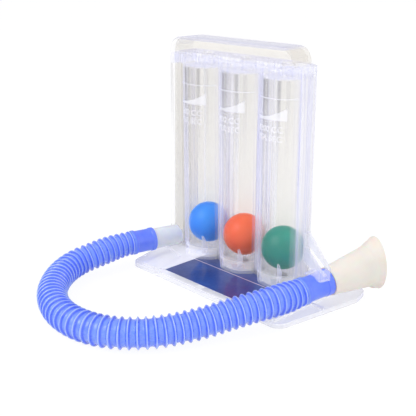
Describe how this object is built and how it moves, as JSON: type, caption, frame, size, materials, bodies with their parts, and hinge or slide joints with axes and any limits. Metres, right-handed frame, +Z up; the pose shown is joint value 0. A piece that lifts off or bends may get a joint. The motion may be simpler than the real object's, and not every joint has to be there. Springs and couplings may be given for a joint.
{
  "type": "incentive spirometer",
  "caption": "Breathing exerciser: clear upright columns with free balls on a flat stand, a corrugated hose and a flared mouthpiece.",
  "frame": {"origin": "on the table, under the axis of the middle column", "axes": "+X along the row of columns to the viewer's right, +Y to the back, +Z up"},
  "size_m": [0.1763, 0.1834, 0.158],
  "materials": {
    "clear_plastic": "clear moulded polystyrene, glossy",
    "label": "printed card under a clear film",
    "frosted_plastic": "frosted translucent",
    "hose_plastic": "soft satin, slightly translucent",
    "ivory_plastic": "satin",
    "ball_blue": "satin",
    "ball_orange": "satin",
    "ball_green": "satin"
  },
  "bodies": {
    "housing": {"base_plate": "clear_plastic", "base_label": "label", "front_shell": "clear_plastic", "rear_shell": "clear_plastic", "nozzle": "frosted_plastic", "cuff_nozzle": "hose_plastic", "hose": "hose_plastic", "cuff_mouthpiece": "hose_plastic", "tube_holder": "clear_plastic", "seat_left": "clear_plastic", "inlet_foot_left": "clear_plastic", "seat_middle": "clear_plastic", "inlet_foot_middle": "clear_plastic", "seat_right": "clear_plastic", "inlet_foot_right": "clear_plastic"},
    "ball_left": {"ball_left": "ball_blue"},
    "ball_middle": {"ball_middle": "ball_orange"},
    "ball_right": {"ball_right": "ball_green"},
    "mouthpiece": {"mouthpiece": "ivory_plastic"}
  },
  "joints": [
    {"name": "ball_left_rise", "type": "slide", "parent": "housing", "child": "ball_left", "axis": [0, 0, 1], "range_m": [0, 0.09645]},
    {"name": "ball_middle_rise", "type": "slide", "parent": "housing", "child": "ball_middle", "axis": [0, 0, 1], "range_m": [0, 0.09645]},
    {"name": "ball_right_rise", "type": "slide", "parent": "housing", "child": "ball_right", "axis": [0, 0, 1], "range_m": [0, 0.09645]},
    {"name": "mouthpiece_swivel", "type": "hinge", "parent": "housing", "child": "mouthpiece", "pos_m": [0.0748, -0.004, 0.0194], "axis": [0.2252, 0.9677, 0.1132], "continuous": true}
  ]
}
